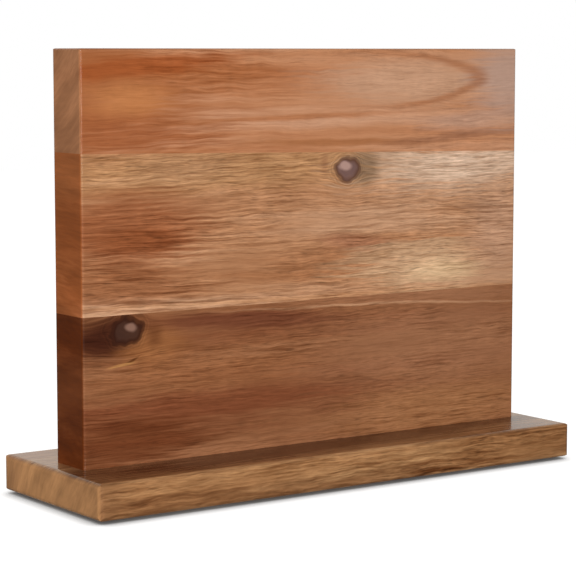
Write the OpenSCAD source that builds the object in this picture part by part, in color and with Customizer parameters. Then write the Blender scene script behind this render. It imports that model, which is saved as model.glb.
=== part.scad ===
// Empty double-sided magnetic knife block.
// An upright acacia panel with magnets sealed between its two leaves stands on an acacia base board.
// Millimetres. +Z is up, +X runs along the panel and -Y is the front.
// The origin is the middle of the footprint, on the surface that the feet stand on.

/* [Panel] */
// Length of the panel, end to end
panel_l = 305; // [270:1:400]
// Height of the panel above the base board
panel_h = 227; // [188:1:300]
// Thickness of the panel, both leaves together
panel_t = 30; // [25:1:40]
// Radius on the panel's outer edges
panel_r = 1.5; // [0.5:0.1:3]
// Height of the top stave at the left end
top_stave_left = 56; // [45:0.5:75]
// Height of the top stave at the right end
top_stave_right = 62; // [45:0.5:75]
// Height of the bottom stave at the left end
bottom_stave_left = 83; // [60:0.5:90]
// Height of the bottom stave at the right end
bottom_stave_right = 83; // [60:0.5:90]

/* [Base board] */
// How far the base board reaches past each end of the panel
end_margin = 12.5; // [5:0.5:40]
// How far the base board reaches past the front and the back of the panel
side_margin = 38.5; // [25:0.5:80]
// Thickness of the base board
base_t = 20.5; // [20:0.5:30]
// Radius on the base board's edges
base_r = 3; // [0.5:0.5:4]

/* [Magnets] */
// Length of one magnet
magnet_l = 40; // [20:1:50]
// Height of one magnet on the knife face
magnet_w = 15; // [10:1:25]
// Thickness of one magnet
magnet_t = 8; // [4:0.5:10]
// Magnets in each row
magnets_per_row = 5; // [3:1:5]
// Gap between neighbouring magnets in a row
magnet_gap = 8; // [2:1:12]
// Radius on a magnet's edges
magnet_r = 0.6; // [0.2:0.1:1]
// Thickness of the steel strip behind a row of magnets
strip_t = 2; // [1:0.5:3]
// Wood left between a magnet and the knife face
skin_t = 2.5; // [1.5:0.5:4]
// Room all round a row of magnets in its channel
channel_clearance = 0.3; // [0.1:0.1:1]

/* [Screws, inserts and dowels] */
// Distance from the middle screw to each outer one
screw_pitch = 100; // [60:1:120]
// Nominal diameter of the machine screws
screw_d = 6; // [5:1:8]
// Length of a screw under its head
screw_l = 25; // [20:1:30]
// Pitch of the screw thread
screw_thread_pitch = 1; // [0.8:0.05:1.25]
// Depth of the screw thread
screw_thread_depth = 0.6; // [0.4:0.05:0.8]
// Diameter of the button head
head_d = 10.5; // [9:0.5:14]
// Height of the button head
head_h = 3.3; // [2.5:0.1:4.5]
// Size across the flats of the hexagon socket
socket_af = 4; // [3:0.5:5]
// Depth of the hexagon socket
socket_depth = 2; // [1.5:0.1:2.5]
// Outer diameter of a washer
washer_d = 12; // [11:0.5:16]
// Thickness of a washer
washer_t = 1.6; // [1:0.1:2]
// Depth of a screw's counterbore in the base board
counterbore_depth = 6; // [5.5:0.5:8]
// Outer diameter of a threaded insert, over its coarse thread
insert_d = 10; // [9:0.5:12]
// Length of a threaded insert
insert_l = 15; // [12:1:18]
// Pitch of the insert's coarse outer thread
insert_thread_pitch = 2.5; // [2:0.5:3]
// Depth of the insert's coarse outer thread
insert_thread_depth = 0.8; // [0.4:0.1:1]
// Distance from the middle of the panel to each dowel
dowel_offset = 50; // [30:1:55]
// Diameter of a dowel
dowel_d = 8; // [6:1:10]
// Length of a dowel
dowel_l = 24; // [20:1:30]
// Room on the radius round a screw, a washer or a screw head
screw_clearance = 0.3; // [0.1:0.1:0.6]
// Room on the radius between the screw thread and its insert
thread_clearance = 0.05; // [0.02:0.01:0.1]
// Room on the radius round a dowel or an insert, and past their ends
glue_clearance = 0.1; // [0.05:0.05:0.3]

/* [Feet] */
// Diameter of a foot
foot_d = 14; // [8:1:20]
// Thickness of a foot
foot_t = 2.5; // [1.5:0.5:5]
// Depth of a foot's recess in the base board
foot_recess = 1; // [0.5:0.5:1.5]
// Distance from the base board's edges to the middle of a foot
foot_inset = 15; // [12:1:25]
// Radius on a foot's lower rim
foot_r = 0.6; // [0.2:0.1:0.8]
// Room on the radius round a foot in its recess
foot_clearance = 0.2; // [0.1:0.1:0.5]

/* [Hidden] */
$fn = 48;
// Cutting shapes reach this far past the surface that they cut
past = 1;

// Heights above the surface that the block stands on
base_z = foot_t - foot_recess;
panel_z = base_z + base_t;

// The base board follows the panel
base_l = panel_l + 2 * end_margin;
base_w = panel_t + 2 * side_margin;

// Each screw bears on a washer at the top of its counterbore and runs up into its insert
washer_z = base_z + counterbore_depth - washer_t;
insert_hole = max(insert_l, washer_z + screw_l - panel_z) + glue_clearance;

// Each leaf is half the panel, and its channels stop short of the knife face
leaf_t = panel_t / 2;
channel_depth = leaf_t - skin_t;
row_l = magnets_per_row * magnet_l + (magnets_per_row - 1) * magnet_gap;
channel_w = magnet_w + 2 * channel_clearance;

// Glue lines, as their heights above the panel's foot at the left and the right end
lower_seam = [bottom_stave_left, bottom_stave_right];
upper_seam = [panel_h - top_stave_left, panel_h - top_stave_right];
foot_line = [0, 0];
top_line = [panel_h + past, panel_h + past];
function middle_of(seam) = (seam[0] + seam[1]) / 2;
function seam_at(seam, x) = middle_of(seam) + (seam[1] - seam[0]) * x / panel_l;

LEAVES = ["front", "back"];
STAVES = ["top", "middle", "bottom"];
ROWS = ["upper", "lower"];
ENDS = ["left", "right"];
MAGNETS = [1 : magnets_per_row];

function side(leaf) = leaf == "front" ? -1 : 1;
function way(end) = end == "left" ? -1 : 1;

// The line below and the line above each stave
function stave_floor(stave) =
    stave == "top" ? upper_seam : stave == "middle" ? lower_seam : foot_line;
function stave_roof(stave) =
    stave == "top" ? top_line : stave == "middle" ? upper_seam : lower_seam;

// The upper row runs along the middle of the top stave, the lower one along the middle stave
function row_height(row) = row == "upper"
    ? (middle_of(upper_seam) + panel_h) / 2
    : (middle_of(lower_seam) + middle_of(upper_seam)) / 2;

// ---------- shapes that several pieces share ----------

module rounded_rect(w, h, r) {
    square([w - 2 * r, h], center = true);
    square([w, h - 2 * r], center = true);
    for (sx = [-1, 1], sy = [-1, 1])
        translate([sx * (w / 2 - r), sy * (h / 2 - r)])
            circle(r);
}

// A block centred on the origin, with every edge rounded
module soft_block(l, w, h, r) {
    intersection() {
        linear_extrude(h, center = true)
            rounded_rect(l, w, r);
        rotate([90, 0, 0])
            linear_extrude(w, center = true)
                rounded_rect(l, h, r);
        rotate([90, 0, 90])
            linear_extrude(l, center = true)
                rounded_rect(w, h, r);
    }
}

// A thread drawn as rings: each ring rises from the core to the full diameter and falls back
module ringed_rod(d, l, pitch, depth) {
    rings = floor(l / pitch);
    start = l - rings * pitch;
    rotate_extrude()
        polygon(concat(
            [[0, 0], [d / 2 - depth, 0], [d / 2 - depth, start]],
            [for (i = [0 : rings - 1], step = [0.5, 1])
                [step == 1 ? d / 2 - depth : d / 2, start + (i + step) * pitch]],
            [[0, l]]
        ));
}

module at_screws() {
    for (x = [-screw_pitch, 0, screw_pitch])
        translate([x, 0, 0])
            children();
}

// ---------- panel ----------

// The whole panel before it is divided: its foot is square, and its other edges are rounded
module panel_blank() {
    hidden_foot = 2 * panel_r;
    intersection() {
        translate([0, 0, (panel_h - hidden_foot) / 2])
            soft_block(panel_l, panel_t, panel_h + hidden_foot, panel_r);
        translate([-panel_l / 2 - past, -panel_t / 2 - past, 0])
            cube([panel_l + 2 * past, panel_t + 2 * past, panel_h + past]);
    }
}

// One stave's share of one leaf, between its two glue lines
module stave_cutter(leaf, stave) {
    x = panel_l / 2 + past;
    low = stave_floor(stave);
    high = stave_roof(stave);
    y_far = leaf == "front" ? 0 : leaf_t + past;
    translate([0, y_far, 0])
        rotate([90, 0, 0])
            linear_extrude(leaf_t + past)
                polygon([
                    [-x, seam_at(low, -x)],
                    [x, seam_at(low, x)],
                    [x, seam_at(high, x)],
                    [-x, seam_at(high, -x)]
                ]);
}

// The channel that a row of magnets lies in, open at the glue plane, with round ends
module magnet_channel(leaf, row) {
    depth = channel_depth + past;
    y_far = leaf == "front" ? past : channel_depth;
    half = row_l / 2 + channel_clearance;
    translate([0, y_far, row_height(row)])
        rotate([90, 0, 0])
            union() {
                translate([-half, -channel_w / 2, 0])
                    cube([2 * half, channel_w, depth]);
                for (x = [-half, half])
                    translate([x, 0, 0])
                        cylinder(h = depth, d = channel_w);
            }
}

// Holes drilled up into the panel's foot for the threaded inserts and the dowels
module foot_holes() {
    translate([0, 0, -past]) {
        at_screws()
            cylinder(h = insert_hole + past, d = insert_d + 2 * glue_clearance);
        for (end = ENDS)
            translate([way(end) * dowel_offset, 0, 0])
                cylinder(h = dowel_l / 2 + glue_clearance + past, d = dowel_d + 2 * glue_clearance);
    }
}

module stave(leaf, stave) {
    shade = stave == "top" ? "#b9794e" : stave == "middle" ? "#b5855c" : "#7d4b2d";
    color(shade)
        translate([0, 0, panel_z])
            difference() {
                intersection() {
                    panel_blank();
                    stave_cutter(leaf, stave);
                }
                if (stave == "top")
                    magnet_channel(leaf, "upper");
                if (stave == "middle")
                    magnet_channel(leaf, "lower");
                if (stave == "bottom")
                    foot_holes();
            }
}

// ---------- magnets and their backing strips ----------

module magnet(leaf, row, i) {
    x = (i - (magnets_per_row + 1) / 2) * (magnet_l + magnet_gap);
    y = side(leaf) * (channel_depth - magnet_t / 2);
    color("silver")
        translate([x, y, panel_z + row_height(row)])
            soft_block(magnet_l, magnet_t, magnet_w, magnet_r);
}

module backing_strip(leaf, row) {
    y = side(leaf) * (channel_depth - magnet_t - strip_t / 2);
    color("#8d9095")
        translate([0, y, panel_z + row_height(row)])
            cube([row_l, strip_t, magnet_w], center = true);
}

// ---------- base board ----------

module base_board() {
    color("#a57a54")
        difference() {
            translate([0, 0, base_z + base_t / 2])
                soft_block(base_l, base_w, base_t, base_r);
            translate([0, 0, base_z - past])
                at_screws() {
                    cylinder(h = counterbore_depth + past, d = washer_d + 2 * screw_clearance);
                    cylinder(h = base_t + 2 * past, d = screw_d + 2 * screw_clearance);
                }
            for (end = ENDS)
                translate([way(end) * dowel_offset, 0, panel_z - dowel_l / 2 - glue_clearance])
                    cylinder(h = dowel_l, d = dowel_d + 2 * glue_clearance);
            for (leaf = LEAVES, end = ENDS)
                at_foot(leaf, end)
                    translate([0, 0, base_z - past])
                        cylinder(h = foot_recess + past, d = foot_d + 2 * foot_clearance);
        }
}

// ---------- what joins the panel to the base board ----------

module dowel(end) {
    chamfer = 0.8;
    r = dowel_d / 2;
    color("#d8b988")
        translate([way(end) * dowel_offset, 0, panel_z - dowel_l / 2])
            rotate_extrude()
                polygon([
                    [0, 0],
                    [r - chamfer, 0],
                    [r, chamfer],
                    [r, dowel_l - chamfer],
                    [r - chamfer, dowel_l],
                    [0, dowel_l]
                ]);
}

module threaded_inserts() {
    color("#c9a24b")
        translate([0, 0, panel_z])
            at_screws()
                difference() {
                    ringed_rod(insert_d, insert_l, insert_thread_pitch, insert_thread_depth);
                    translate([0, 0, -past])
                        cylinder(h = insert_l + 2 * past, d = screw_d + 2 * thread_clearance);
                }
}

module base_screws() {
    color("#3a3a3c")
        translate([0, 0, washer_z])
            at_screws()
                difference() {
                    union() {
                        ringed_rod(screw_d, screw_l, screw_thread_pitch, screw_thread_depth);
                        mirror([0, 0, 1])
                            button_head();
                    }
                    translate([0, 0, -head_h - past])
                        cylinder(h = socket_depth + past, d = socket_af / cos(30), $fn = 6);
                }
}

// A domed head that stands on its flat side
module button_head() {
    dome_r = (pow(head_d / 2, 2) + pow(head_h, 2)) / (2 * head_h);
    intersection() {
        cylinder(h = head_h, d = head_d);
        translate([0, 0, head_h - dome_r])
            sphere(dome_r);
    }
}

module screw_washers() {
    color("#b9bcc0")
        translate([0, 0, washer_z])
            at_screws()
                difference() {
                    cylinder(h = washer_t, d = washer_d);
                    translate([0, 0, -past])
                        cylinder(h = washer_t + 2 * past, d = screw_d + 2 * screw_clearance);
                }
}

// ---------- feet ----------

module at_foot(leaf, end) {
    x = way(end) * (base_l / 2 - foot_inset);
    y = side(leaf) * (base_w / 2 - foot_inset);
    translate([x, y, 0])
        children();
}

module foot(leaf, end) {
    r = foot_d / 2;
    color("#2b2b2b")
        at_foot(leaf, end)
            rotate_extrude()
                union() {
                    square([r - foot_r, foot_t]);
                    translate([0, foot_r])
                        square([r, foot_t - foot_r]);
                    translate([r - foot_r, foot_r])
                        circle(foot_r);
                }
}

// ---------- the block ----------

base_board();

for (leaf = LEAVES, stave = STAVES)
    stave(leaf, stave);

for (leaf = LEAVES, row = ROWS)
    backing_strip(leaf, row);

for (leaf = LEAVES, row = ROWS, i = MAGNETS)
    magnet(leaf, row, i);

for (end = ENDS)
    dowel(end);

threaded_inserts();
base_screws();
screw_washers();

for (leaf = LEAVES, end = ENDS)
    foot(leaf, end);
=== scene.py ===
"""Looks for an empty double-sided magnetic knife block: an acacia panel with magnets sealed inside, on an acacia base.

The sections follow the order in which the block is put together. Lengths are in metres, and patterns in millimetres.
"""

import math

import bpy
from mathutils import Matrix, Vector

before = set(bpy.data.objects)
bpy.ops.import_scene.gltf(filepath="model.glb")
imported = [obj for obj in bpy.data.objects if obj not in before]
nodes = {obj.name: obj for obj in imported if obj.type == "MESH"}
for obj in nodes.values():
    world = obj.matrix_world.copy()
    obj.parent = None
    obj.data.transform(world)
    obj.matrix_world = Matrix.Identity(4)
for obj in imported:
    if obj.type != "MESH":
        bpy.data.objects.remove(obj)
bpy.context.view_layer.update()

# ---------------------------------------------------------------------------------------------------------------------
# Magnets. Sintered neodymium blocks, ground flat and plated with nickel, five to a row, under the knife faces.
# They are pressed into their channels by hand, so the bright plating is slightly clouded and rubbed.
# ---------------------------------------------------------------------------------------------------------------------


def linear(hex_colour):
    """An sRGB hex colour as the linear colour that a socket takes."""
    channels = [int(hex_colour[i:i + 2], 16) / 255 for i in (1, 3, 5)]
    return [c / 12.92 if c <= 0.04045 else ((c + 0.055) / 1.055) ** 2.4 for c in channels] + [1.0]


def add(tree, kind, inputs=(), out=0, stops=(), **settings):
    """Adds one node and returns one of its outputs, or None if it has none.

    Inputs are values or other nodes' outputs, by name or in order. Stops are a ramp's positions and colours.
    """
    node = tree.nodes.new("ShaderNode" + kind)
    for name, value in settings.items():
        setattr(node, name, value)
    for name, value in inputs.items() if isinstance(inputs, dict) else enumerate(inputs):
        if isinstance(value, bpy.types.NodeSocket):
            tree.links.new(value, node.inputs[name])
        else:
            node.inputs[name].default_value = value
    for i, (position, colour) in enumerate(stops):
        stop = node.color_ramp.elements[i] if i < 2 else node.color_ramp.elements.new(position)
        stop.position, stop.color = position, colour
    return node.outputs[out] if node.outputs else None


def new_material(name):
    """An empty material, its node tree, and the piece's own coordinates in millimetres."""
    material = bpy.data.materials.new(name)
    material.use_nodes = True
    tree = material.node_tree
    tree.nodes.clear()
    place = add(tree, "TexCoord", out="Object")
    mm = add(tree, "VectorMath", (place, (1000, 1000, 1000)), operation="MULTIPLY")
    return material, tree, mm


def finish_material(tree, sockets):
    """Ends a tree in one shader with these socket values."""
    add(tree, "OutputMaterial", {"Surface": add(tree, "BsdfPrincipled", sockets)})


def dress(material, names):
    """Gives a material to CAD nodes whose shape is already right."""
    for name in names:
        nodes[name].data.materials.clear()
        nodes[name].data.materials.append(material)


def worked_metal(name, colours, roughness, marks_mm, bump_mm, metallic=1.0):
    """A metal whose finish varies: two colours, two roughnesses, and marks of one size in each direction."""
    material, tree, mm = new_material(name)
    cloud = add(tree, "TexNoise", {"Vector": mm, "Scale": 1 / 9, "Detail": 3})
    fine = add(tree, "VectorMath", (mm, [1 / m for m in marks_mm]), operation="MULTIPLY")
    marks = add(tree, "TexNoise", {"Vector": fine, "Scale": 1.0, "Detail": 4, "Roughness": 0.6})
    colour = add(tree, "Mix", {0: cloud, 6: linear(colours[0]), 7: linear(colours[1])}, 2, data_type="RGBA")
    rough = add(tree, "MapRange", (marks, 0.3, 0.7, roughness[0], roughness[1]))
    bump = add(tree, "Bump", {"Strength": 1.0, "Distance": bump_mm / 1000, "Height": marks})
    finish_material(tree, {"Base Color": colour, "Metallic": metallic, "Roughness": rough, "Normal": bump})
    return material


MAGNETS = [name for name in nodes if "_magnet_" in name]
dress(worked_metal("nickel_plate", ("#b9b6ae", "#a8a49a"), (0.16, 0.34), (6, 6, 6), 0.01), MAGNETS)

# ---------------------------------------------------------------------------------------------------------------------
# Backing strips. Mild steel flats behind each row of magnets, cut from cold-drawn bar, so the marks run lengthways.
# The steel is left as it comes from the mill, with a little oil on it.
# ---------------------------------------------------------------------------------------------------------------------

STRIPS = [name for name in nodes if name.endswith("_backing_strip")]
dress(worked_metal("mild_steel", ("#8d9095", "#74767a"), (0.28, 0.5), (30, 0.6, 0.6), 0.02), STRIPS)

# ---------------------------------------------------------------------------------------------------------------------
# Panel staves. Solid acacia, three staves edge-glued, each sawn into a front and a back leaf so that the figure runs
# through both. Planed, sanded, arrises eased by hand, then sprayed with a satin clear coat that darkens the end grain.
# ---------------------------------------------------------------------------------------------------------------------

# The front knife face, a height roughly half-way up the panel, and a reach that passes through any board
KNIFE_FACE_Y = -15
MID_HEIGHT = 130
THROUGH = 1e6


def acacia(name, heart, tones, streak, marks=(), knots=(), soak="#8a5a36", seed=0.0, wave=1.0, thick=1.0):
    """Solid acacia whose growth rings lie round a heart line along X, at the place (y, z) in millimetres.

    Tones are the ground's dark, middle and light colours. Streak is how strongly the dark grain lines show.
    Marks are soft patches and lines of colour, and knots are branches that cross the board. Soak is the colour
    that the soaked end grain turns to. Wave and thick scale how far the fibres wave and how thick they look.
    """
    material, tree, mm = new_material(name)
    # The grain wanders slowly over the board, and each fibre waves a little
    shifted = add(tree, "VectorMath", (mm, (seed * 300, 0, seed * 170)), operation="ADD")
    slow = add(tree, "VectorMath", (shifted, (1 / 170, 1 / 60, 1 / 60)), operation="MULTIPLY")
    slow = add(tree, "TexNoise", {"Vector": slow, "Scale": 1.0, "Detail": 0}, "Color")
    slow = add(tree, "VectorMath", (slow, (0, 9, 9), (0, -4.5, -4.5)), operation="MULTIPLY_ADD")
    quick = add(tree, "VectorMath", (shifted, (1 / 19, 1 / 11, 1 / 8)), operation="MULTIPLY")
    quick = add(tree, "TexNoise", {"Vector": quick, "Scale": 1.0, "Detail": 1}, "Color")
    quick = add(tree, "VectorMath", (quick, (-0.5, -0.5, -0.5)), operation="ADD")
    quick = add(tree, "VectorMath", (quick, (0, 2.2 * wave, 2.2 * wave)), operation="MULTIPLY")
    grain = add(tree, "VectorMath", (mm, slow), operation="ADD")
    grain = add(tree, "VectorMath", (grain, quick), operation="ADD")
    # Round each knot the grain parts like water round a post
    coarse = add(tree, "TexNoise", {"Vector": mm, "Scale": 1 / 8, "Detail": 1})
    fine = add(tree, "TexNoise", {"Vector": mm, "Scale": 1 / 1.8, "Detail": 2})
    uneven = add(tree, "Math", (fine, 0.12, coarse), operation="MULTIPLY_ADD")
    uneven = add(tree, "MapRange", (uneven, 0.3, 0.82, -0.26, 0.26))
    knot_places = []
    for knot in knots:
        spot = add(tree, "Mapping", {
            "Vector": mm, "Location": (knot["at"][0], KNIFE_FACE_Y, knot["at"][1]),
            "Rotation": (knot["dive"], 0, 0), "Scale": (knot["reach"][0], THROUGH, knot["reach"][1]),
        }, vector_type="TEXTURE")
        radius = add(tree, "VectorMath", (spot,), "Value", operation="LENGTH")
        square = add(tree, "Math", (radius, 2.0), operation="POWER")
        square = add(tree, "Math", (square, 1.0), operation="MAXIMUM")
        push = add(tree, "Math", (add(tree, "SeparateXYZ", (spot,), "Z"), square), operation="DIVIDE")
        push = add(tree, "Math", (push, -0.95 * knot["reach"][1]), operation="MULTIPLY")
        grain = add(tree, "VectorMath", (grain, add(tree, "CombineXYZ", (0.0, 0.0, push))), operation="ADD")
        knot_places.append((knot, spot, add(tree, "Math", (radius, uneven), operation="ADD")))
    # Each fibre's distance from the heart and its place round the heart
    radial = add(tree, "VectorMath", (grain, (0, heart[0], heart[1])), operation="SUBTRACT")
    radial = add(tree, "VectorMath", (radial, (0, 1, 1)), operation="MULTIPLY")
    ring = add(tree, "VectorMath", (radial,), "Value", operation="LENGTH")
    out_y = add(tree, "SeparateXYZ", (radial,), "Y")
    out_z = add(tree, "Math", (add(tree, "SeparateXYZ", (radial,), "Z"),), operation="ABSOLUTE")
    turn = add(tree, "Math", (out_y, out_z), operation="ARCTAN2")
    around = add(tree, "Math", (turn, abs(heart[1] - MID_HEIGHT)), operation="MULTIPLY")
    along = add(tree, "SeparateXYZ", (shifted,), "X")
    fibre_place = add(tree, "CombineXYZ", (along, ring, around))
    # Growth bands, grain streaks and fibres. The finest are 0.6 mm wide, drawn coarser than real so that they show
    sizes = {"bands": (240, 12, 50), "streaks": (36, 1.5, 12), "lines": (15, 0.75, 6), "fibres": (6, 0.6, 3),
             "vessels": (10, 0.7, 4)}
    noise = {}
    for part, (length, width, depth) in sizes.items():
        thin = (1 / length, 1 / (width * thick), 1 / (depth * thick))
        place = add(tree, "VectorMath", (fibre_place, thin), operation="MULTIPLY")
        noise[part] = add(tree, "TexNoise", {"Vector": place, "Scale": 1.0, "Detail": 2, "Roughness": 0.55})
    ripple = add(tree, "VectorMath", (mm, (1 / 6, 1 / 50, 1 / 30)), operation="MULTIPLY")
    ripple = add(tree, "TexNoise", {"Vector": ripple, "Scale": 1.0, "Detail": 2})
    dark, middle, light = tones
    colour = add(tree, "ValToRGB", (noise["bands"],), "Color",
                 [(0.3, linear(dark)), (0.7, linear(light)), (0.5, linear(middle))])
    feather = add(tree, "Math", (noise["bands"], noise["streaks"]), operation="ADD")
    feather = add(tree, "MapRange", (feather, 0.6, 1.4, -0.5, 0.5))
    for mark in marks:
        (x, z), (wide, high) = mark["at"], mark["reach"]
        spot = add(tree, "Mapping", {
            "Vector": grain, "Location": (x, mark.get("y", KNIFE_FACE_Y), z),
            "Rotation": (0, -math.radians(mark.get("turn", 0)), 0), "Scale": (wide, mark.get("deep", 40), high),
        }, vector_type="TEXTURE")
        radius = add(tree, "VectorMath", (spot,), "Value", operation="LENGTH")
        edge = add(tree, "Math", (feather, mark.get("feather", 1.0)), operation="MULTIPLY")
        amount = mark.get("amount", 0.8)
        if "rim" in mark:
            # Only the right-hand end of the outline shows, as the tip of a cathedral
            amount = add(tree, "MapRange", (add(tree, "SeparateXYZ", (spot,), "X"), -0.2, 0.5, 0.0, amount))
            radius = add(tree, "Math", (radius, add(tree, "Math", (edge, 0.12, 0.0), operation="MULTIPLY_ADD")),
                         operation="ADD")
            radius = add(tree, "Math", (radius, 1.0), operation="SUBTRACT")
            radius = add(tree, "Math", (radius,), operation="ABSOLUTE")
            radius = add(tree, "Math", (radius, mark["rim"]), operation="DIVIDE")
        else:
            radius = add(tree, "Math", (radius, edge), operation="ADD")
        soft = mark.get("soft", 0.6)
        amount = add(tree, "MapRange", (radius, 1 + soft, 1 - soft, 0.0, amount), interpolation_type="SMOOTHSTEP")
        colour = add(tree, "Mix", {0: amount, 6: colour, 7: linear(mark["colour"])}, 2, data_type="RGBA")
    # Grain lines fade where the board is cut across its fibres, and in its calmer parts
    normal = add(tree, "NewGeometry", out="Normal")
    facing = add(tree, "VectorMath", (normal,), operation="ABSOLUTE")
    facing = add(tree, "SeparateXYZ", (facing,), "X")
    lengthways = add(tree, "MapRange", (facing, 0.6, 0.95, 1.0, 0.4))
    calm = add(tree, "VectorMath", (shifted, (1 / 110, 1 / 35, 1 / 24)), operation="MULTIPLY")
    calm = add(tree, "TexNoise", {"Vector": calm, "Scale": 1.0, "Detail": 1})
    show = add(tree, "MapRange", (calm, 0.36, 0.6, 0.35, 1.0))
    show = add(tree, "Math", (show, lengthways), operation="MULTIPLY")
    # Dark streaks are redder than light ones, because the resin lies in them
    for part, weight in (("streaks", streak), ("lines", 0.8 * streak)):
        shade = add(tree, "ValToRGB", (noise[part],), "Color", [
            (0.3, [1 - 0.42 * weight, 1 - 0.52 * weight, 1 - 0.6 * weight, 1]),
            (0.68, [1 + 0.22 * weight, 1 + 0.25 * weight, 1 + 0.28 * weight, 1]),
            (0.47, [1 - 0.03 * weight, 1 - 0.04 * weight, 1 - 0.05 * weight, 1])])
        colour = add(tree, "Mix", {0: show, 6: colour, 7: shade}, 2, data_type="RGBA", blend_type="MULTIPLY")
    fine = add(tree, "MapRange", (noise["fibres"], 0.25, 0.75, 1 - 0.25 * streak, 1 + 0.25 * streak))
    vessels = add(tree, "MapRange", (noise["vessels"], 0.58, 0.72, 1.0, 1 - 0.42 * streak))
    fine = add(tree, "Math", (fine, vessels), operation="MULTIPLY")
    cross = add(tree, "MapRange", (ripple, 0.25, 0.75, 0.95, 1.05))
    fine = add(tree, "Math", (fine, cross), operation="MULTIPLY")
    fine = add(tree, "Mix", {0: show, 2: 1.0, 3: fine})
    colour = add(tree, "VectorMath", {0: colour, "Scale": fine}, operation="SCALE")
    # A knot: rings crowd round a dark edge of bark, and inside it the dead branch has a pale core off its middle
    for knot, spot, radius in knot_places:
        rings = add(tree, "Math", (add(tree, "Math", (radius, 21.0), operation="MULTIPLY"),), operation="SINE")
        rings = add(tree, "MapRange", (rings, -1.0, 1.0, 0.74, 1.08))
        near = add(tree, "MapRange", (radius, 2.1, 1.1, 0.0, 1.0), interpolation_type="SMOOTHSTEP")
        rings = add(tree, "Mix", {0: near, 2: 1.0, 3: rings})
        colour = add(tree, "VectorMath", {0: colour, "Scale": rings}, operation="SCALE")
        step = add(tree, "Math", (radius, 0.5), operation="MULTIPLY")
        inside = add(tree, "ValToRGB", (step,), "Color", [
            (0.0, linear(knot["fill"])), (1.0, linear(knot["edge"])), (0.3, linear(knot["fill"])),
            (0.45, linear(knot["edge"]))])
        cover = add(tree, "MapRange", (radius, 1.4, 0.86, 0.0, 0.92), interpolation_type="SMOOTHSTEP")
        colour = add(tree, "Mix", {0: cover, 6: colour, 7: inside}, 2, data_type="RGBA")
        core = add(tree, "Mapping", {
            "Vector": spot, "Location": (knot["core_at"][0], 0, knot["core_at"][1]),
            "Rotation": (0, 0.25, 0), "Scale": (knot["core_reach"][0], THROUGH, knot["core_reach"][1]),
        }, vector_type="TEXTURE")
        core = add(tree, "VectorMath", (core,), "Value", operation="LENGTH")
        core = add(tree, "Math", (core, uneven), operation="ADD")
        core = add(tree, "MapRange", (core, 1.3, 0.6, 0.0, 1.0), interpolation_type="SMOOTHSTEP")
        colour = add(tree, "Mix", {0: core, 6: colour, 7: linear(knot["core"])}, 2, data_type="RGBA")
    # The ends drink the finish, so they are darker and redder
    ending = add(tree, "MapRange", (facing, 0.6, 0.95, 0.0, 0.8))
    soaked = add(tree, "MapRange", (noise["bands"], 0.3, 0.7, 0.72, 1.28))
    soaked = add(tree, "Math", (soaked, add(tree, "MapRange", (noise["streaks"], 0.3, 0.7, 0.9, 1.1))),
                 operation="MULTIPLY")
    soaked = add(tree, "VectorMath", {0: linear(soak)[:3], "Scale": soaked}, operation="SCALE")
    colour = add(tree, "Mix", {0: ending, 6: colour, 7: soaked}, 2, data_type="RGBA")
    bump = add(tree, "Bump", {"Strength": 0.3, "Distance": 0.0001, "Height": noise["fibres"]})
    rough = add(tree, "MapRange", (noise["streaks"], 0.3, 0.7, 0.5, 0.58))
    # The coat lies thick and level on what faces up, and is flatted on the upright faces
    upward = add(tree, "SeparateXYZ", (normal,), "Z")
    coat = add(tree, "MapRange", (upward, 0.2, 0.9, 0.12, 0.8))
    coat = add(tree, "Math", (coat, lengthways), operation="MULTIPLY")
    finish_material(tree, {"Base Color": colour, "Roughness": rough, "IOR": 1.5, "Specular IOR Level": 0.05,
                           "Coat Weight": coat, "Coat Roughness": 0.14, "Normal": bump})
    return material


top_acacia = acacia(
    "lacquered_acacia_top", (60, 320), ("#ac6e48", "#bb825d", "#c69474"), 0.42, seed=0.3, soak="#a87653",
    marks=(
        dict(at=(-155, 222), reach=(95, 42), deep=110, colour="#9b5a32", amount=0.9),
        dict(at=(-118, 238), reach=(58, 5), turn=6, colour="#9a4f26", amount=0.75),
        dict(at=(-122, 221), reach=(26, 8), colour="#bd7b4b", amount=0.8),
        dict(at=(-128, 203), reach=(60, 9), colour="#9b5a36", amount=0.8),
        dict(at=(-20, 210), reach=(80, 1.8), turn=2, colour="#a96a42", amount=0.7, feather=0.5),
        dict(at=(20, 195.5), reach=(60, 2.0), colour="#a0663f", amount=0.75, feather=0.5),
        dict(at=(112, 198), reach=(52, 2.2), turn=3, colour="#9c6a4e", amount=0.75, feather=0.5),
        dict(at=(75, 231), reach=(58, 13), colour="#c4987a", amount=0.9),
        dict(at=(146, 232), reach=(26, 24), colour="#b69584", amount=0.9),
        dict(at=(118, 207), reach=(40, 5), colour="#bb927b", amount=0.8),
        dict(at=(39, 232), reach=(83, 16), rim=0.08, colour="#9f6440", amount=0.65, soft=0.9),
    ),
)
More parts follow.
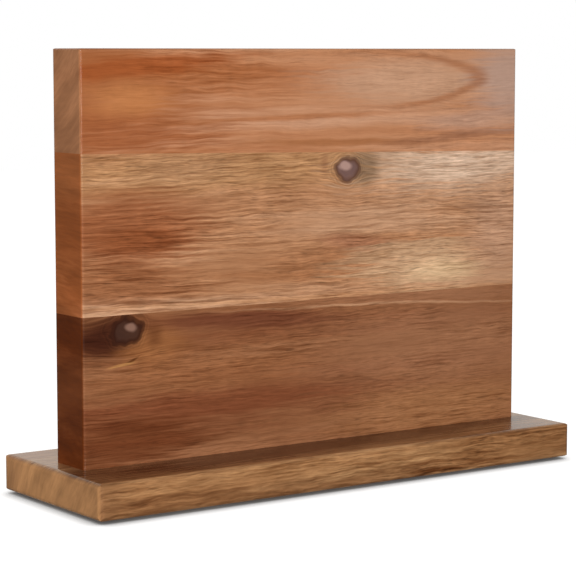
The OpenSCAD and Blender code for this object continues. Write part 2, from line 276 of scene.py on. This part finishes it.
middle_acacia = acacia(
    "lacquered_acacia_middle", (15, -20), ("#a26d49", "#b07e5a", "#be9170"), 0.88, seed=1.7, soak="#a05526",
    marks=(
        dict(at=(-60, 181), reach=(125, 11), colour="#b08259", amount=0.9),
        dict(at=(-86, 182), reach=(30, 8), colour="#ab7f5c", amount=0.6),
        dict(at=(-122, 150), reach=(44, 20), deep=110, colour="#915534", amount=0.85),
        dict(at=(-114, 142), reach=(24, 8), colour="#844827", amount=0.7),
        dict(at=(28, 138), reach=(24, 4), turn=-6, colour="#9a664a", amount=0.75),
        dict(at=(108, 176), reach=(66, 14), colour="#d6b69c", amount=0.95, feather=2.0),
        dict(at=(-132, 117), reach=(52, 12), colour="#8a5535", amount=0.75),
        dict(at=(90, 119), reach=(46, 13), colour="#cda682", amount=0.9, feather=2.0),
        dict(at=(98, 118), reach=(26, 6), colour="#d6b28a", amount=0.85),
        dict(at=(140, 140), reach=(22, 28), colour="#b88d70", amount=0.85),
        dict(at=(-30, 108), reach=(135, 1.4), colour="#bd8a63", amount=0.6, feather=0.4),
        dict(at=(-70, 109.5), reach=(28, 0.8), colour="#85583a", amount=0.7, feather=0.4),
        dict(at=(38, 178), reach=(9, 8), colour="#7d6248", amount=0.7),
        dict(at=(8, 180.5), reach=(2.4, 4.5), colour="#8a5a3e", amount=0.5, feather=0.3, soft=0.9),
    ),
    knots=(
        dict(at=(24.6, 179.5), reach=(7.6, 6.4), dive=0.12, edge="#5a3a2e", fill="#6d5250",
             core="#ad8b80", core_at=(-0.2, 0.3), core_reach=(0.56, 0.42)),
    ),
)
bottom_acacia = acacia(
    "lacquered_acacia_bottom", (5, -70), ("#7d492e", "#8b5a3b", "#986747"), 0.8, seed=3.1, soak="#632a05",
    marks=(
        dict(at=(-150, 94), reach=(26, 13), deep=110, colour="#512915", amount=0.85, soft=0.8),
        dict(at=(-142, 94), reach=(16, 6.5), turn=4, colour="#3c1a0f", amount=0.85, soft=0.8),
        dict(at=(-108, 85), reach=(18, 13), colour="#955f37", amount=0.75),
        dict(at=(-47, 96), reach=(55, 4.5), turn=-3, colour="#6c3c28", amount=0.8),
        dict(at=(80, 101), reach=(84, 4.2), turn=-1.5, colour="#9c6b4c", amount=0.8),
        dict(at=(60, 97.2), reach=(98, 0.8), turn=-2.4, colour="#b98a68", amount=0.8, feather=0.25),
        dict(at=(-72, 69), reach=(68, 12), colour="#925e3c", amount=0.75),
        dict(at=(-60, 52), reach=(108, 7), colour="#7a442a", amount=0.8),
        dict(at=(25, 42), reach=(24, 4), colour="#74412a", amount=0.7),
        dict(at=(-125, 32), reach=(50, 14), deep=110, colour="#67351b", amount=0.85),
        dict(at=(95, 34), reach=(74, 15), colour="#9e6c47", amount=0.9),
        dict(at=(95, 72), reach=(80, 20), colour="#9c6b4c", amount=0.75),
        dict(at=(-122.5, 80.5), reach=(5.5, 0.9), turn=28, colour="#532a0e", amount=0.8, feather=0.3),
        dict(at=(-128, 78.5), reach=(8, 1.0), turn=8, colour="#c08a52", amount=0.7, feather=0.3),
        dict(at=(-107, 93), reach=(4, 5), colour="#5c3119", amount=0.6, feather=0.5, soft=0.9),
    ),
    knots=(
        dict(at=(-125.3, 96.4), reach=(9.2, 7.0), dive=-0.1, edge="#33180f", fill="#412920",
             core="#856354", core_at=(0.33, 0.24), core_reach=(0.4, 0.36)),
    ),
)
for stave, material in (("top", top_acacia), ("middle", middle_acacia), ("bottom", bottom_acacia)):
    dress(material, [f"{leaf}_{stave}_stave" for leaf in ("front", "back")])

# ---------------------------------------------------------------------------------------------------------------------
# Dowels and threaded inserts, in the panel's foot. The dowels are turned beech, and locate the panel on the base board.
# The inserts are turned brass, screwed and glued into the end of each hole.
# ---------------------------------------------------------------------------------------------------------------------

beech, tree, mm = new_material("turned_beech")
flecks = add(tree, "VectorMath", (mm, (1 / 0.5, 1 / 0.5, 1 / 5)), operation="MULTIPLY")
flecks = add(tree, "TexNoise", {"Vector": flecks, "Scale": 1.0, "Detail": 3})
colour = add(tree, "ValToRGB", (flecks,), "Color", [(0.35, linear("#b98c58")), (0.65, linear("#dfc195"))])
bump = add(tree, "Bump", {"Strength": 0.5, "Distance": 0.0001, "Height": flecks})
finish_material(tree, {"Base Color": colour, "Roughness": 0.7, "Normal": bump})
dress(beech, ["dowel_left", "dowel_right"])
dress(worked_metal("turned_brass", ("#c9a24b", "#b58f3e"), (0.2, 0.36), (5, 5, 0.3), 0.02), ["threaded_inserts"])

# ---------------------------------------------------------------------------------------------------------------------
# Base board. One wide acacia board, planed, with its arrises rounded, under the same satin clear coat as the panel.
# ---------------------------------------------------------------------------------------------------------------------

base_acacia = acacia(
    "lacquered_acacia_base", (-105, -45), ("#8b5e3b", "#9d7049", "#af845a"), 1.35, seed=5.3, soak="#bd8a5c",
    wave=1.15, thick=1.05,
    marks=(
        # Painted shade and painted reflection: a near-black band along the board's top just in front of the panel,
        # standing in for the panel's shadow on the top and its mirror image in the coat
        dict(at=(2, 22), reach=(168, 5), y=-22, deep=27, colour="#421505", amount=0.92, feather=0.5, soft=0.4),
        dict(at=(-150, 10), reach=(30, 14), y=5, deep=22, colour="#b98a5c", amount=0.6),
        dict(at=(-150, 10), reach=(30, 14), y=48, deep=18, colour="#a77558", amount=0.6),
        # Painted shade: the front face darkens along its foot, standing in for the shade of the rounded bottom edge and
        # the gap under the board; the grain waves the band's upper edge
        dict(at=(0, 4), reach=(230, 5.5), y=-54, deep=9, colour="#6f4629", amount=0.75, feather=1.4),
        dict(at=(115, 12), reach=(80, 18), y=-54, deep=12, colour="#815431", amount=0.65),
        dict(at=(-165, 12), reach=(15, 22), y=-50, deep=15, colour="#825a3a", amount=0.65),
    ),
)
dress(base_acacia, ["base_board"])

# ---------------------------------------------------------------------------------------------------------------------
# Screws, washers and feet, under the base board. Black-oxide button-head screws bear on zinc-plated washers.
# The feet are moulded silicone discs, pressed into shallow recesses, matt and faintly dusty.
# ---------------------------------------------------------------------------------------------------------------------

dress(worked_metal("black_oxide_steel", ("#3a3a3c", "#29292b"), (0.38, 0.55), (2, 2, 2), 0.02, 0.8), ["base_screws"])
dress(worked_metal("zinc_plate", ("#b9bcc0", "#a3a79f"), (0.24, 0.4), (3, 3, 3), 0.01), ["screw_washers"])

silicone, tree, mm = new_material("moulded_silicone")
dust = add(tree, "TexNoise", {"Vector": mm, "Scale": 1 / 2.5, "Detail": 5, "Roughness": 0.7})
colour = add(tree, "ValToRGB", (dust,), "Color", [(0.4, linear("#242424")), (0.75, linear("#3b3a38"))])
bump = add(tree, "Bump", {"Strength": 0.4, "Distance": 0.00005, "Height": dust})
finish_material(tree, {"Base Color": colour, "Roughness": 0.75, "IOR": 1.41, "Normal": bump})
dress(silicone, [name for name in nodes if name.startswith("foot_")])

# ---------------------------------------------------------------------------------------------------------------------
# Studio. A plain white floor, one large low soft light in front and to the left, and a weak fill behind. The surround
# is white where the camera sees it, and for the light it gives it is dimmer on the near side than behind the block.
# ---------------------------------------------------------------------------------------------------------------------

scene = bpy.context.scene
scene.view_settings.view_transform = "Standard"

FLOOR_HALF = 3.0
floor_mesh = bpy.data.meshes.new("floor")
floor_mesh.from_pydata([(-FLOOR_HALF, -FLOOR_HALF, 0), (FLOOR_HALF, -FLOOR_HALF, 0),
                        (FLOOR_HALF, FLOOR_HALF, 0), (-FLOOR_HALF, FLOOR_HALF, 0)], [], [(0, 1, 2, 3)])
floor = bpy.data.objects.new("floor", floor_mesh)
scene.collection.objects.link(floor)
paper, tree, mm = new_material("white_paper")
# Painted contact shadow: the floor's own glow is dimmed by ambient occlusion where the block stands close over it,
# under the board's edges and feet
open_sky = add(tree, "AmbientOcclusion", {"Distance": 0.012}, "AO", samples=8)
shade = add(tree, "MapRange", (open_sky, 0.2, 0.88, 0.03, 0.93))
finish_material(tree, {"Base Color": linear("#8c8c8c"), "Roughness": 0.9, "Specular IOR Level": 0.1,
                       "Emission Color": (1, 1, 1, 1), "Emission Strength": shade})
floor_mesh.materials.append(paper)
floor.visible_diffuse = floor.visible_glossy = False

world = bpy.data.worlds.new("studio")
scene.world = world
world.use_nodes = True
tree = world.node_tree
tree.nodes.clear()
direction = add(tree, "TexCoord", out="Generated")
toward = Vector((0.57, 0.8, 0.2)).normalized()
facing = add(tree, "VectorMath", (direction, toward), "Value", operation="DOT_PRODUCT")
glow = add(tree, "MapRange", (facing, 0.35, 0.85, 0.18, 0.82), interpolation_type="SMOOTHSTEP")
seen = add(tree, "LightPath", out="Is Camera Ray")
glow = add(tree, "Mix", {0: seen, 2: glow, 3: 1.0})
tint = add(tree, "Mix", {0: seen, 6: (1, 0.95, 0.88, 1), 7: (1, 1, 1, 1)}, 2, data_type="RGBA")
background = add(tree, "Background", {"Color": tint, "Strength": glow})
add(tree, "OutputWorld", {"Surface": background})


def soft_light(name, place, aim, size, power):
    """A soft box of this width and height at a place, facing a point."""
    data = bpy.data.lights.new(name, "AREA")
    data.shape, data.size, data.size_y, data.energy = "RECTANGLE", *size, power
    light = bpy.data.objects.new(name, data)
    light.location = place
    light.rotation_euler = (Vector(aim) - Vector(place)).to_track_quat("-Z", "Y").to_euler()
    scene.collection.objects.link(light)
    return light


soft_light("key", (-1.1, -1.72, 0.4), (0, 0, 0.12), (1.4, 0.6), 45)
# The fill only lifts the back, so it leaves no shine on the coat
back_fill = soft_light("back_fill", (0.5, 1.7, 1.3), (0, 0, 0.12), (1.2, 0.7), 16)
back_fill.visible_glossy = False

camera_data = bpy.data.cameras.new("camera")
camera_data.lens, camera_data.sensor_width = 135.05, 36
camera = bpy.data.objects.new("camera", camera_data)
camera.location = (-0.72341, -1.01996, 0.24677)
camera.rotation_euler = (math.radians(90 - 6.222), 0, math.radians(-35.077))
scene.collection.objects.link(camera)
scene.camera = camera
